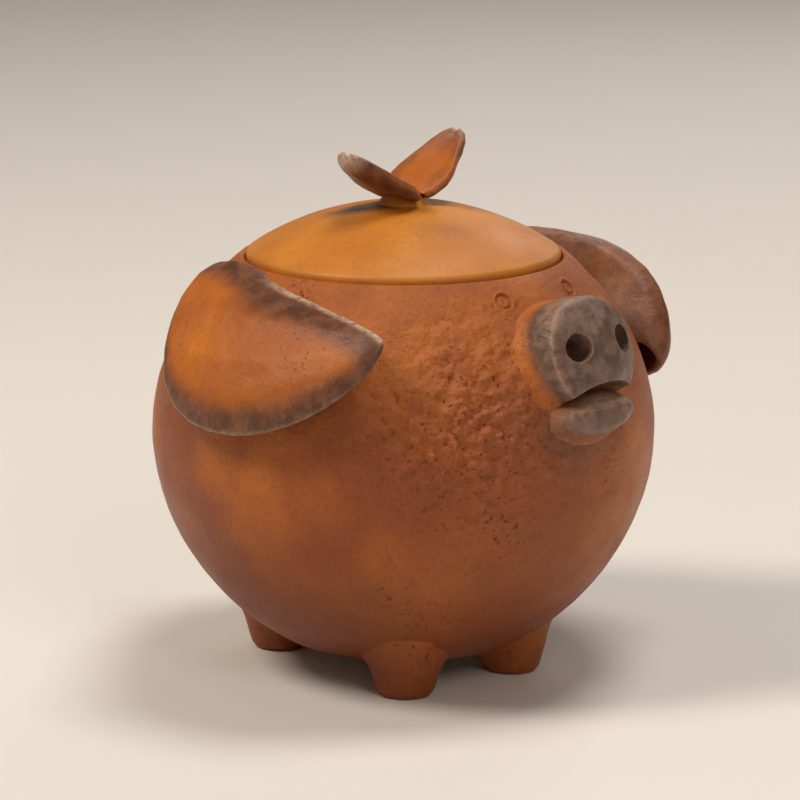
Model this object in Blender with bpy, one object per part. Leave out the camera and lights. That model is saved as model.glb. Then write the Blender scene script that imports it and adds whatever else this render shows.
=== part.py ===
"""A clay jar in the shape of a pig, with a lid that lifts off by a two-leaf sprout.

Every piece that is formed by hand before the luting is an object of its own. Units are metres,
+Z is up, the pig faces -Y and its right side is -X. The jar stands on the table at z = 0.
"""

import math

import bmesh
import bpy
from mathutils import Matrix, Vector

MM = 0.001
DEGREE = math.radians(1.0)

# Fits between pieces
SEAM = 0.3 * MM  # hairline between two pieces that are luted together
LID_PLAY = 0.6 * MM  # gap round the edge of the lid
FLANGE_PLAY = 0.9 * MM  # gap between the flange of the lid and the throat of the pot
MOUTH_GAP = 0.9 * MM  # slit between the snout and the lower lip

# Pot
BELLY_RADIUS = 56.0 * MM
BELLY_LEVEL = 53.5 * MM  # height of the widest ring
DOME_TOP = 104.0 * MM  # height of the closed jar without its sprout
BASE_RADIUS = 27.0 * MM
BASE_LEVEL = 6.5 * MM  # height of the flat underside
WALL = 4.5 * MM
FLOOR = 5.0 * MM
LEDGE = 4.0 * MM  # width of the gallery that carries the lid
THROAT_DEPTH = 4.5 * MM
THROAT_FLARE = 7.0 * MM  # height over which the throat runs out into the wall
RIM_ROUND = 1.0 * MM

# Lid
LID_RADIUS = 34.6 * MM
LID_EDGE = 3.2 * MM
LID_ROUND = 0.6 * MM
LID_WALL = 4.5 * MM
FLANGE_DEPTH = 8.0 * MM
FLANGE_WALL = 3.2 * MM
FLANGE_CHAMFER = 0.8 * MM

# Sprout on the lid
STEM_RADIUS = 3.6 * MM
STEM_HEIGHT = 3.0 * MM
STEM_FLARE = 0.8 * MM  # how much wider the stem is where it meets the lid
LEAF_LENGTH = 21.0 * MM
LEAF_WIDTH = 12.0 * MM
LEAF_THICKNESS = 3.0 * MM
LEFT_LEAF_RISE = 22.0 * DEGREE  # slope of each leaf at its root
RIGHT_LEAF_RISE = 17.0 * DEGREE
LEAF_CURL = 20.0 * DEGREE  # how much steeper the leaf is at its tip
LEAF_CUP = 2.2 * MM  # how far the sides of the leaf curl up
LEAF_ROOT_SHARE = 0.12  # share of the leaf's outline that the stem hides
LEAF_ROOT_FULLNESS = 0.8
LEAF_TIP_FULLNESS = 0.55

# Snout, with its place seen from the centre of the belly
SNOUT_LATITUDE = 25.0 * DEGREE
SNOUT_PITCH = 17.0 * DEGREE  # how far the front of the snout looks up
SNOUT_WIDTH = 26.0 * MM
SNOUT_HEIGHT = 24.5 * MM
SNOUT_REACH = 9.5 * MM  # how far the middle of its front stands out from the pot
SNOUT_CROWN = 3.2 * MM  # how far the front is domed
SNOUT_ROUND = 2.2 * MM
SNOUT_FLARE = 0.5 * MM  # how much the snout widens towards the pot
SNOUT_CROWN_SHARES = (0.66, 0.33)  # sizes of the rings on the domed front
NOSTRIL_SPACING = 14.0 * MM
NOSTRIL_DIAMETER = 5.8 * MM
NOSTRIL_RISE = 1.5 * MM  # height of the nostrils above the middle of the snout

# Mouth
MOUTH_WIDTH = 23.0 * MM
MOUTH_RISE = 4.5 * MM  # how far the mouth arches up into the snout
LIP_REACH = 6.5 * MM
LIP_HEIGHT = 10.5 * MM

# Eyes, stamped into the pot with the end of a tube
EYE_LATITUDE = 41.0 * DEGREE
EYE_AZIMUTH = 15.0 * DEGREE
EYE_DIAMETER = 4.0 * MM
EYE_GROOVE = 0.8 * MM
EYE_DEPTH = 0.6 * MM

# Ears, with the places of their ends counted from the face towards the ear's own side
EAR_THICKNESS = 3.2 * MM
EAR_BACK_FULLNESS = 0.3  # smaller is blunter
EAR_TIP_FULLNESS = 0.78
EAR_BULGE_BACK = 1.2  # the ear bulges most a little in front of its middle
EAR_BULGE_TIP = 0.8
RIGHT_EAR_WIDTH = 38.0 * MM
RIGHT_EAR_BACK = (114.0 * DEGREE, 27.0 * DEGREE)  # azimuth and latitude
RIGHT_EAR_TIP = (51.0 * DEGREE, 29.0 * DEGREE)
RIGHT_EAR_LEAN = 11.0 * DEGREE  # how far the upper edge lies behind the lower one
RIGHT_EAR_BACK_OFF = 6.0 * MM  # how far the back end stands off the pot
RIGHT_EAR_ROOT_SINK = 4.5 * MM  # how deep the upper edge goes into the pot before it is cut
RIGHT_EAR_MIDDLE_OFF = 3.0 * MM
RIGHT_EAR_LOWER_OFF = 3.5 * MM
RIGHT_EAR_TIP_OFF = 8.0 * MM
RIGHT_EAR_DROOP = 1.0
RIGHT_EAR_FOLD = 0.0
RIGHT_EAR_SKEW = 0.0
LEFT_EAR_WIDTH = 50.0 * MM
LEFT_EAR_BACK = (97.0 * DEGREE, 31.0 * DEGREE)
LEFT_EAR_TIP = (56.0 * DEGREE, 11.0 * DEGREE)
LEFT_EAR_LEAN = 0.0 * DEGREE
LEFT_EAR_BACK_OFF = 1.0 * MM
LEFT_EAR_ROOT_SINK = 5.0 * MM
LEFT_EAR_MIDDLE_OFF = 12.0 * MM
LEFT_EAR_LOWER_OFF = 0.5 * MM
LEFT_EAR_TIP_OFF = 4.0 * MM
LEFT_EAR_DROOP = 2.2  # over 1, the ear first runs level and then bends down
LEFT_EAR_FOLD = 1.0  # share by which the upper edge is folded back down to the pot
LEFT_EAR_SKEW = 0.6  # moves the bulge of the ear up towards the fold

# Feet
FOOT_TRACK = 30.0 * MM  # from the right feet to the left feet
FOOT_WHEELBASE = 46.0 * MM  # from the front feet to the rear feet
FOOT_TURN = -9.0 * DEGREE  # the feet stand a little askew of the face
FOOT_SHIFT = (-1.4 * MM, 1.5 * MM)  # and a little off the middle of the pot
FOOT_RADIUS = 6.8 * MM
FOOT_FLARE = 11.0 * MM  # how much wider a foot is where it runs into the pot
FOOT_SPREAD = 1.3  # over 1, the foot widens most near the pot
FOOT_ROUND = 1.8 * MM

# Tail
TAIL_LATITUDE = 16.0 * DEGREE
TAIL_THICKNESS = 5.0 * MM
TAIL_REACH = 9.0 * MM
TAIL_CURL_RADIUS = 5.0 * MM
TAIL_TURNS = 1.25
TAIL_TAPER = 0.45  # share of the thickness lost at the tip

# Fineness of the facets
ROUND_SIDES = 56
PIECE_SIDES = 24
NOSTRIL_SIDES = 16
TAIL_SIDES = 10
TAIL_STEPS = 22
EAR_STATIONS = 14
EAR_SIDES = 22
LEAF_STATIONS = 10
LEAF_SIDES = 16
LOWER_STEPS = 8
UPPER_STEPS = 6
DOME_STEPS = 5
INNER_STEPS = 5
CORNER_STEPS = 3

BELLY_CENTRE = Vector((0.0, 0.0, BELLY_LEVEL))
UPPER_RISE = DOME_TOP - BELLY_LEVEL
LOWER_DROP = (BELLY_LEVEL - BASE_LEVEL) / math.sqrt(1.0 - (BASE_RADIUS / BELLY_RADIUS) ** 2)
INNER_RADIUS = BELLY_RADIUS - WALL
GALLERY_RADIUS = LID_RADIUS + LID_PLAY
THROAT_RADIUS = GALLERY_RADIUS - LEDGE
FLANGE_RADIUS = THROAT_RADIUS - FLANGE_PLAY
HOLLOW_RADIUS = FLANGE_RADIUS - FLANGE_WALL


def spread(start, end, steps):
    """Evenly spaced values from start to end, both included."""
    return [start + (end - start) * i / steps for i in range(steps + 1)]


def skin_angle(radius):
    """Angle above the belly at which the pot's skin has the given radius."""
    return math.acos(radius / BELLY_RADIUS)


def skin_normal(angle):
    """Outward direction of the pot's profile, as (radius, height)."""
    half_height = UPPER_RISE if angle > 0.0 else LOWER_DROP
    across = math.cos(angle) / BELLY_RADIUS
    along = math.sin(angle) / half_height
    length = math.hypot(across, along)
    return across / length, along / length


def skin_point(angle, offset=0.0):
    """Point of the pot's profile, as (radius, height), moved out by an offset."""
    half_height = UPPER_RISE if angle > 0.0 else LOWER_DROP
    across, along = skin_normal(angle)
    radius = BELLY_RADIUS * math.cos(angle) + offset * across
    height = BELLY_LEVEL + half_height * math.sin(angle) + offset * along
    return max(radius, 0.0), height


def skin_distance(direction):
    """Distance from the centre of the belly to the pot's skin along a unit vector."""
    half_height = UPPER_RISE if direction.z > 0.0 else LOWER_DROP
    flat = math.hypot(direction.x, direction.y) / BELLY_RADIUS
    return 1.0 / math.hypot(flat, direction.z / half_height)


def direction_at(azimuth, latitude):
    """Unit vector from the belly's centre; azimuth 0 is the face, 90 degrees the pig's left."""
    flat = math.cos(latitude)
    return Vector((math.sin(azimuth) * flat, -math.cos(azimuth) * flat, math.sin(latitude)))


def on_pot(azimuth, latitude, standoff=0.0):
    """Point at a standoff from the pot's skin."""
    direction = direction_at(azimuth, latitude)
    return BELLY_CENTRE + direction * (skin_distance(direction) + standoff)


LID_UNDER = skin_point(skin_angle(LID_RADIUS))[1] - LID_EDGE
LEDGE_LEVEL = LID_UNDER - SEAM
BASE_ANGLE = -skin_angle(BASE_RADIUS)
RIM_ANGLE = skin_angle(GALLERY_RADIUS + RIM_ROUND)
TOP_ANGLE = 90.0 * DEGREE
BOWL_ANGLES = spread(BASE_ANGLE, 0.0, LOWER_STEPS)
SHOULDER_ANGLES = spread(0.0, RIM_ANGLE, UPPER_STEPS)[1:]
DOME_ANGLES = spread(RIM_ANGLE, TOP_ANGLE, DOME_STEPS)[1:]


def clay(name, colour, roughness):
    """Dull fired clay."""
    material = bpy.data.materials.new(name)
    material.use_nodes = True
    shader = material.node_tree.nodes["Principled BSDF"]
    shader.inputs["Base Color"].default_value = (*colour, 1.0)
    shader.inputs["Roughness"].default_value = roughness
    shader.inputs["Metallic"].default_value = 0.0
    return material


def add_piece(name, mesh_data, material, parent):
    """Turn a bmesh into a smooth-shaded object that hangs on its body's empty."""
    bmesh.ops.recalc_face_normals(mesh_data, faces=mesh_data.faces)
    mesh = bpy.data.meshes.new(name)
    mesh_data.to_mesh(mesh)
    mesh_data.free()
    mesh.materials.append(material)
    mesh.shade_smooth()
    mesh.set_sharp_from_angle(angle=40.0 * DEGREE)
    piece = bpy.data.objects.new(name, mesh)
    piece.parent = parent
    bpy.context.collection.objects.link(piece)
    return piece


def add_cutter(name, mesh_data, parent):
    """A shape that only cuts others."""
    bmesh.ops.recalc_face_normals(mesh_data, faces=mesh_data.faces)
    mesh = bpy.data.meshes.new(name)
    mesh_data.to_mesh(mesh)
    mesh_data.free()
    cutter = bpy.data.objects.new(name, mesh)
    cutter.hide_render = True
    cutter.display_type = "WIRE"
    cutter.parent = parent
    bpy.context.collection.objects.link(cutter)
    return cutter


def cut(piece, cutter):
    """Take the cutter's shape out of a piece."""
    modifier = piece.modifiers.new("cut by " + cutter.name, "BOOLEAN")
    modifier.operation = "DIFFERENCE"
    modifier.solver = "EXACT"
    modifier.object = cutter


def turned(profile, sides=ROUND_SIDES, closed=False):
    """Revolve a profile of (radius, height) points round the Z axis."""
    data = bmesh.new()
    verts = [data.verts.new((radius, 0.0, height)) for radius, height in profile]
    pairs = list(zip(verts, verts[1:]))
    if closed:
        pairs.append((verts[-1], verts[0]))
    edges = [data.edges.new(pair) for pair in pairs]
    bmesh.ops.spin(
        data,
        geom=verts + edges,
        axis=(0.0, 0.0, 1.0),
        cent=(0.0, 0.0, 0.0),
        angle=2.0 * math.pi,
        steps=sides,
    )
    bmesh.ops.remove_doubles(data, verts=data.verts, dist=0.001 * MM)
    return data


def lofted(sections):
    """Bridge closed rings of equal length and close both ends."""
    data = bmesh.new()
    rings = [[data.verts.new(point) for point in section] for section in sections]
    count = len(rings[0])
    for ring, following in zip(rings, rings[1:]):
        for i in range(count):
            j = (i + 1) % count
            data.faces.new((ring[i], ring[j], following[j], following[i]))
    data.faces.new(reversed(rings[0]))
    data.faces.new(rings[-1])
    return data


def signed_power(value, exponent):
    """Power of a number that keeps its sign."""
    return math.copysign(abs(value) ** exponent, value)


def blunt(value):
    """One over most of the range from -1 to 1, and zero at both ends."""
    squareness = 6.0
    return (1.0 - abs(value) ** squareness) ** (1.0 / squareness)


def slab(surface, thickness, stations, sides):
    """A slab of clay with rounded edges along surface(s, t), with s and t from 0 to 1."""
    step = 0.01
    edge_spread = 0.7
    edge_round = 0.35
    sections = []
    for i in range(stations):
        s = 0.5 - 0.5 * math.cos(math.pi * (i + 0.5) / stations)
        section = []
        for k in range(sides):
            angle = 2.0 * math.pi * k / sides
            t = 0.5 - 0.5 * signed_power(math.cos(angle), edge_spread)
            along = surface(s + step * (1.0 - s), t) - surface(s - step * s, t)
            across = surface(s, t + step) - surface(s, t - step)
            lift = 0.5 * thickness * blunt(2.0 * s - 1.0) * signed_power(math.sin(angle), edge_round)
            section.append(surface(s, t) + along.cross(across).normalized() * lift)
        sections.append(section)
    return lofted(sections)


def leaf_shape(s, fullness_back, fullness_tip):
    """Half width of a leaf along its length, between 0 and 1."""
    widest = fullness_back / (fullness_back + fullness_tip)
    peak = widest**fullness_back * (1.0 - widest) ** fullness_tip
    return max(s, 0.0) ** fullness_back * max(1.0 - s, 0.0) ** fullness_tip / peak


def edge_arc(angle, wall_radius):
    """Round corner that runs from the pot's skin into an upright wall."""
    radius, height = skin_point(angle)
    across, along = skin_normal(angle)
    side = 1.0 if wall_radius > radius else -1.0
    size = abs(wall_radius - radius) / (1.0 - side * across)
    start = math.atan2(along, across)
    end = 0.0 if side > 0.0 else math.pi
    centre = (radius - size * across, height - size * along)
    turns = spread(start, end, CORNER_STEPS)[1:]
    return [(centre[0] + size * math.cos(a), centre[1] + size * math.sin(a)) for a in turns]


def bowl_profile():
    """Underside, skin and inside of the pot up to the belly."""
    inner_drop = LOWER_DROP - WALL
    floor_level = BASE_LEVEL + FLOOR
    corner = math.asin((floor_level - BELLY_LEVEL) / inner_drop)
    outside = [(0.0, BASE_LEVEL)] + [skin_point(a) for a in BOWL_ANGLES]
    inside = [
        (INNER_RADIUS * math.cos(a), BELLY_LEVEL + inner_drop * math.sin(a))
        for a in spread(0.0, corner, INNER_STEPS)
    ]
    return outside + inside + [(0.0, floor_level)]


def shoulder_profile():
    """Skin, rim, gallery, throat and inside of the pot from the belly up."""
    throat_level = LEDGE_LEVEL - THROAT_DEPTH
    inner_rise = UPPER_RISE - WALL
    inner_top = math.asin((throat_level - THROAT_FLARE - BELLY_LEVEL) / inner_rise)
    foot_level = BELLY_LEVEL + SEAM
    outside = [(BELLY_RADIUS, foot_level)] + [skin_point(a) for a in SHOULDER_ANGLES]
    rim = edge_arc(RIM_ANGLE, GALLERY_RADIUS)
    gallery = [(GALLERY_RADIUS, LEDGE_LEVEL), (THROAT_RADIUS, LEDGE_LEVEL), (THROAT_RADIUS, throat_level)]
    inside = [
        (INNER_RADIUS * math.cos(a), BELLY_LEVEL + inner_rise * math.sin(a))
        for a in spread(inner_top, 0.0, INNER_STEPS)[:-1]
    ]
    return outside + rim + gallery + inside + [(INNER_RADIUS, foot_level)]


def seat_profile():
    """The pot's skin, closed over the lid and moved out by the seam, for cutting luted pieces."""
    base = [(0.0, BASE_LEVEL - SEAM), (BASE_RADIUS, BASE_LEVEL - SEAM)]
    return base + [skin_point(a, SEAM) for a in BOWL_ANGLES + SHOULDER_ANGLES + DOME_ANGLES]


def lid_profile():
    """Dome, edge, flat underside and hollow of the lid."""
    edge_angle = skin_angle(LID_RADIUS - LID_ROUND)
    dome = [skin_point(a) for a in spread(TOP_ANGLE, edge_angle, DOME_STEPS)]
    under = [(LID_RADIUS, LID_UNDER), (HOLLOW_RADIUS, LID_UNDER)]
    hollow_rise = DOME_TOP - LID_WALL - LID_UNDER
    hollow = [
        (HOLLOW_RADIUS * math.cos(a), LID_UNDER + hollow_rise * math.sin(a))
        for a in spread(0.0, TOP_ANGLE, INNER_STEPS)[1:-1]
    ]
    return dome + edge_arc(edge_angle, LID_RADIUS) + under + hollow + [(0.0, LID_UNDER + hollow_rise)]


def flange_profile():
    """Ring that drops into the throat, with its lower edge taken off."""
    top = LID_UNDER - SEAM
    bottom = top - FLANGE_DEPTH
    return [
        (HOLLOW_RADIUS, top),
        (FLANGE_RADIUS, top),
        (FLANGE_RADIUS, bottom + FLANGE_CHAMFER),
        (FLANGE_RADIUS - FLANGE_CHAMFER, bottom),
        (HOLLOW_RADIUS, bottom),
    ]


def stem_profile(offset=0.0):
    """Stub that the leaves grow from, sunk into the lid, widened by an offset."""
    radius = STEM_RADIUS + offset
    top = DOME_TOP + STEM_HEIGHT + offset
    sunk = DOME_TOP - LID_WALL
    flare = [
        (radius + STEM_FLARE * (1.0 - math.sin(a)), DOME_TOP + STEM_HEIGHT * 0.5 * math.sin(a))
        for a in spread(0.0, TOP_ANGLE, CORNER_STEPS)
    ]
    crown = [
        (radius * math.cos(a), top - STEM_HEIGHT * 0.5 + STEM_HEIGHT * 0.5 * math.sin(a))
        for a in spread(0.0, TOP_ANGLE, CORNER_STEPS)
    ]
    return [(0.0, sunk), (radius + STEM_FLARE, sunk)] + flare + crown[1:-1] + [(0.0, top)]


def leaf_surface(side, rise):
    """Middle surface of a leaf that grows towards one side, +1 for the pig's left."""
    root = Vector((0.0, 0.0, DOME_TOP + STEM_HEIGHT * 0.5))

    def surface(s, t):
        slope = rise + LEAF_CURL * s * 0.5
        across = 2.0 * t - 1.0
        shown = LEAF_ROOT_SHARE + (1.0 - LEAF_ROOT_SHARE) * s
        half_width = 0.5 * LEAF_WIDTH * leaf_shape(shown, LEAF_ROOT_FULLNESS, LEAF_TIP_FULLNESS)
        cup = LEAF_CUP * across * across * s
        out = s * LEAF_LENGTH
        return root + Vector((
            side * (out * math.cos(slope) - cup * math.sin(slope)),
            across * half_width,
            out * math.sin(slope) + cup * math.cos(slope),
        ))

    return surface


def snout_frame():
    """Place of the snout: X across, Y up its front, Z out of the pot."""
    out = direction_at(0.0, SNOUT_PITCH)
    across = Vector((1.0, 0.0, 0.0))
    frame = Matrix((across, out.cross(across), out)).transposed().to_4x4()
    return Matrix.Translation(on_pot(0.0, SNOUT_LATITUDE)) @ frame


def snout_sections():
    """Rings from inside the pot to the domed front."""
    squareness = 0.9
    root_depth = -0.5 * SNOUT_HEIGHT
    edge_reach = SNOUT_REACH - SNOUT_CROWN
    rings = [(root_depth, SNOUT_FLARE), (0.0, SNOUT_FLARE), (0.5 * edge_reach, 0.25 * SNOUT_FLARE)]
    rings += [
        (edge_reach - SNOUT_ROUND * (1.0 - math.sin(a)), -SNOUT_ROUND * (1.0 - math.cos(a)))
        for a in spread(0.0, 0.8 * TOP_ANGLE, CORNER_STEPS)
    ]
    sections = []
    for depth, grow in rings:
        sections.append([
            Vector((
                (0.5 * SNOUT_WIDTH + grow) * signed_power(math.cos(a), squareness),
                (0.5 * SNOUT_HEIGHT + grow) * signed_power(math.sin(a), squareness),
                depth,
            ))
            for a in spread(0.0, 2.0 * math.pi, PIECE_SIDES)[:-1]
        ])
    rim = sections[-1]
    for share in SNOUT_CROWN_SHARES:
        crown = SNOUT_CROWN * (1.0 - share * share)
        sections.append([Vector((p.x * share, p.y * share, p.z + crown)) for p in rim])
    return sections


def rod(radius, length, sides):
    """Straight round bar from z = 0 up."""
    return turned([(0.0, 0.0), (radius, 0.0), (radius, length), (0.0, length)], sides)


def mouth_sections(grow, depths):
    """Arch of the mouth in the snout's frame, widened by an amount, at a few depths."""
    half_width = 0.5 * MOUTH_WIDTH + grow
    half_height = 0.5 * LIP_HEIGHT + grow
    centre = -0.5 * SNOUT_HEIGHT + MOUTH_RISE - 0.5 * LIP_HEIGHT
    return [
        [
            Vector((scale * half_width * math.cos(a), centre + scale * half_height * math.sin(a), depth))
            for a in spread(0.0, 2.0 * math.pi, PIECE_SIDES)[:-1]
        ]
        for depth, scale in depths
    ]


def lip_sections():
    """Rounded tongue of clay that fills the arch of the mouth."""
    root_depth = -LIP_HEIGHT
    depths = [(root_depth, 1.0)]
    depths += [(LIP_REACH * math.sin(a), math.cos(a)) for a in spread(0.0, 0.9 * TOP_ANGLE, INNER_STEPS)]
    return mouth_sections(0.0, depths)


def foot_profile(axis_distance):
    """Tapered stub with a round lower edge, reaching up into the pot."""
    top_radius = FOOT_RADIUS + FOOT_FLARE
    outer = -skin_angle(axis_distance + top_radius)
    top = skin_point(outer)[1] + WALL
    corner = [
        (FOOT_RADIUS - FOOT_ROUND + FOOT_ROUND * math.sin(a), FOOT_ROUND - FOOT_ROUND * math.cos(a))
        for a in spread(0.0, TOP_ANGLE, CORNER_STEPS)
    ]
    flare = [
        (FOOT_RADIUS + FOOT_FLARE * share**FOOT_SPREAD, FOOT_ROUND + (top - FOOT_ROUND) * share)
        for share in spread(0.0, 1.0, INNER_STEPS)[1:]
    ]
    return [(0.0, 0.0)] + corner + flare + [(0.0, top)]


def ear_surface(side, back, tip, width, bends, standoffs):
    """Middle surface of an ear that is luted on along the middle of its upper edge.

    back and tip are (azimuth, latitude) of the ends of the ear, measured from the face towards
    the ear's own side. bends are the lean, droop, fold and skew of the ear; the lean moves its
    upper edge back. standoffs are those of the back end, the sunk upper edge, the middle, the
    lower edge and the tip.
    """
    lean, droop, fold, skew = bends
    back_off, root_sink, middle_off, lower_off, tip_off = standoffs
    half_angle = 0.5 * width / BELLY_RADIUS

    def surface(s, t):
        shape = leaf_shape(s, EAR_BACK_FULLNESS, EAR_TIP_FULLNESS)
        swell = leaf_shape(s, EAR_BULGE_BACK, EAR_BULGE_TIP)
        across = 1.0 - 2.0 * t
        folded = across - fold * swell * max(across, 0.0) ** 2
        latitude = back[1] + (tip[1] - back[1]) * s**droop + folded * half_angle * shape
        azimuth = back[0] + (tip[0] - back[0]) * s + lean * across * shape
        bulge = (
            middle_off * (1.0 - across * across) * (1.0 + skew * across)
            + lower_off * 0.5 * across * (across - 1.0)
            - root_sink * 0.5 * across * (across + 1.0)
        )
        ends = back_off * (1.0 - s) ** 2 + tip_off * s**3
        return on_pot(side * azimuth, latitude, ends + bulge * swell)

    return surface


def tail_sections():
    """A coil of clay that leaves the pot, turns once and ends in a blunt tip."""
    root = on_pot(180.0 * DEGREE, TAIL_LATITUDE)
    turn = TAIL_TURNS * 2.0 * math.pi
    sections = []
    for share in spread(0.0, 1.0, TAIL_STEPS):
        angle = turn * share
        centre = root + Vector((
            TAIL_CURL_RADIUS * math.sin(angle),
            TAIL_REACH * share,
            TAIL_CURL_RADIUS * (1.0 - math.cos(angle)),
        ))
        heading = Vector((
            TAIL_CURL_RADIUS * turn * math.cos(angle),
            TAIL_REACH,
            TAIL_CURL_RADIUS * turn * math.sin(angle),
        )).normalized()
        first = heading.cross(Vector((0.0, 1.0, 0.0))).normalized()
        second = heading.cross(first)
        radius = 0.5 * TAIL_THICKNESS * (1.0 - TAIL_TAPER * share)
        sections.append([
            centre + radius * (math.cos(a) * first + math.sin(a) * second)
            for a in spread(0.0, 2.0 * math.pi, TAIL_SIDES)[:-1]
        ])
    return sections


def build():
    """Make every piece and stand the jar with the middle of its outline at the origin."""
    for old in list(bpy.data.objects):
        bpy.data.objects.remove(old)

    orange = clay("orange clay", (0.46, 0.17, 0.035), 0.62)
    lid_clay = clay("lid clay", (0.55, 0.22, 0.045), 0.62)
    ear_clay = clay("ear clay", (0.42, 0.14, 0.035), 0.55)
    grey_clay = clay("smoked clay", (0.20, 0.12, 0.09), 0.5)

    pot = bpy.data.objects.new("pot_frame", None)
    bpy.context.collection.objects.link(pot)
    lid_axis = bpy.data.objects.new("lid_axis", None)
    lid_axis.parent = pot
    bpy.context.collection.objects.link(lid_axis)

    seat = add_cutter("seat", turned(seat_profile()), pot)
    pieces = []

    pieces.append(add_piece("pot_body", turned(bowl_profile()), orange, pot))
    shoulder = add_piece("pot_shoulder", turned(shoulder_profile(), closed=True), orange, pot)
    pieces.append(shoulder)

    pieces.append(add_piece("lid", turned(lid_profile()), lid_clay, lid_axis))
    pieces.append(add_piece("lid_flange", turned(flange_profile(), closed=True), lid_clay, lid_axis))

    stem = add_piece("sprout_stem", turned(stem_profile(), PIECE_SIDES), lid_clay, lid_axis)
    cut(stem, seat)
    pieces.append(stem)
    stem_seat = add_cutter("stem_seat", turned(stem_profile(SEAM), PIECE_SIDES), lid_axis)
    for name, side, rise in (("leaf_left", 1.0, LEFT_LEAF_RISE), ("leaf_right", -1.0, RIGHT_LEAF_RISE)):
        leaf_mesh = slab(leaf_surface(side, rise), LEAF_THICKNESS, LEAF_STATIONS, LEAF_SIDES)
        leaf = add_piece(name, leaf_mesh, ear_clay, lid_axis)
        cut(leaf, stem_seat)
        cut(leaf, seat)
        pieces.append(leaf)

    snout = add_piece("snout", lofted(snout_sections()), grey_clay, pot)
    snout.matrix_local = snout_frame()
    cut(snout, seat)
    # Bores and mouth reach as far into the pot and out of it as the snout is high
    for side in (-1.0, 1.0):
        bore = add_cutter("nostril", rod(0.5 * NOSTRIL_DIAMETER, 2.0 * SNOUT_HEIGHT, NOSTRIL_SIDES), pot)
        place = Matrix.Translation((side * 0.5 * NOSTRIL_SPACING, NOSTRIL_RISE, -SNOUT_HEIGHT))
        bore.matrix_local = snout_frame() @ place
        cut(snout, bore)
        cut(shoulder, bore)
    depths = ((-SNOUT_HEIGHT, 1.0), (SNOUT_HEIGHT, 1.0))
    mouth = add_cutter("mouth", lofted(mouth_sections(MOUTH_GAP, depths)), pot)
    mouth.matrix_local = snout_frame()
    cut(snout, mouth)
    pieces.append(snout)

    lip = add_piece("lower_lip", lofted(lip_sections()), grey_clay, pot)
    lip.matrix_local = snout_frame()
    cut(lip, seat)
    pieces.append(lip)

    for side in (-1.0, 1.0):
        direction = direction_at(side * EYE_AZIMUTH, EYE_LATITUDE)
        ring = [
            (0.5 * EYE_DIAMETER - EYE_GROOVE, -EYE_DEPTH),
            (0.5 * EYE_DIAMETER, -EYE_DEPTH),
            (0.5 * EYE_DIAMETER, EYE_DIAMETER),
            (0.5 * EYE_DIAMETER - EYE_GROOVE, EYE_DIAMETER),
        ]
        stamp = add_cutter("eye", turned(ring, PIECE_SIDES, closed=True), pot)
        stamp.matrix_local = Matrix.LocRotScale(
            on_pot(side * EYE_AZIMUTH, EYE_LATITUDE), direction.to_track_quat("Z", "Y"), None
        )
        cut(shoulder, stamp)

    right = ear_surface(
        -1.0,
        RIGHT_EAR_BACK,
        RIGHT_EAR_TIP,
        RIGHT_EAR_WIDTH,
        (RIGHT_EAR_LEAN, RIGHT_EAR_DROOP, RIGHT_EAR_FOLD, RIGHT_EAR_SKEW),
        (
            RIGHT_EAR_BACK_OFF,
            RIGHT_EAR_ROOT_SINK,
            RIGHT_EAR_MIDDLE_OFF,
            RIGHT_EAR_LOWER_OFF,
            RIGHT_EAR_TIP_OFF,
        ),
    )
    left = ear_surface(
        1.0,
        LEFT_EAR_BACK,
        LEFT_EAR_TIP,
        LEFT_EAR_WIDTH,
        (LEFT_EAR_LEAN, LEFT_EAR_DROOP, LEFT_EAR_FOLD, LEFT_EAR_SKEW),
        (
            LEFT_EAR_BACK_OFF,
            LEFT_EAR_ROOT_SINK,
            LEFT_EAR_MIDDLE_OFF,
            LEFT_EAR_LOWER_OFF,
            LEFT_EAR_TIP_OFF,
        ),
    )
    lid_path = add_cutter("lid_path", rod(GALLERY_RADIUS + LID_PLAY, 2.0 * UPPER_RISE, ROUND_SIDES), pot)
    lid_path.location.z = LEDGE_LEVEL
    for name, surface in (("ear_right", right), ("ear_left", left)):
        ear_mesh = slab(surface, EAR_THICKNESS, EAR_STATIONS, EAR_SIDES)
        ear = add_piece(name, ear_mesh, ear_clay, pot)
        cut(ear, seat)
        cut(ear, lid_path)
        pieces.append(ear)

    half_track = 0.5 * FOOT_TRACK
    half_base = 0.5 * FOOT_WHEELBASE
    shift = Matrix.Translation((*FOOT_SHIFT, 0.0))
    turn = Matrix.Rotation(FOOT_TURN, 4, "Z")
    foot_mesh = foot_profile(math.hypot(half_track, half_base))
    for end, along in (("front", -half_base), ("rear", half_base)):
        for side, across in (("left", half_track), ("right", -half_track)):
            foot = add_piece(f"foot_{end}_{side}", turned(foot_mesh, PIECE_SIDES), orange, pot)
            foot.matrix_local = shift @ turn @ Matrix.Translation((across, along, 0.0))
            cut(foot, seat)
            pieces.append(foot)

    tail = add_piece("tail", lofted(tail_sections()), orange, pot)
    cut(tail, seat)
    pieces.append(tail)

    centre_on_origin(pot, pieces)


def centre_on_origin(root, pieces):
    """Move the whole jar so that the middle of its outline box stands on the origin."""
    graph = bpy.context.evaluated_depsgraph_get()
    corners = []
    for piece in pieces:
        evaluated = piece.evaluated_get(graph)
        corners += [evaluated.matrix_world @ Vector(corner) for corner in evaluated.bound_box]
    middle = [0.5 * (min(c[i] for c in corners) + max(c[i] for c in corners)) for i in (0, 1)]
    root.location = (-middle[0], -middle[1], 0.0)


build()
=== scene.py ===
import math

import bpy
import numpy as np
from mathutils import Matrix, Vector


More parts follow.
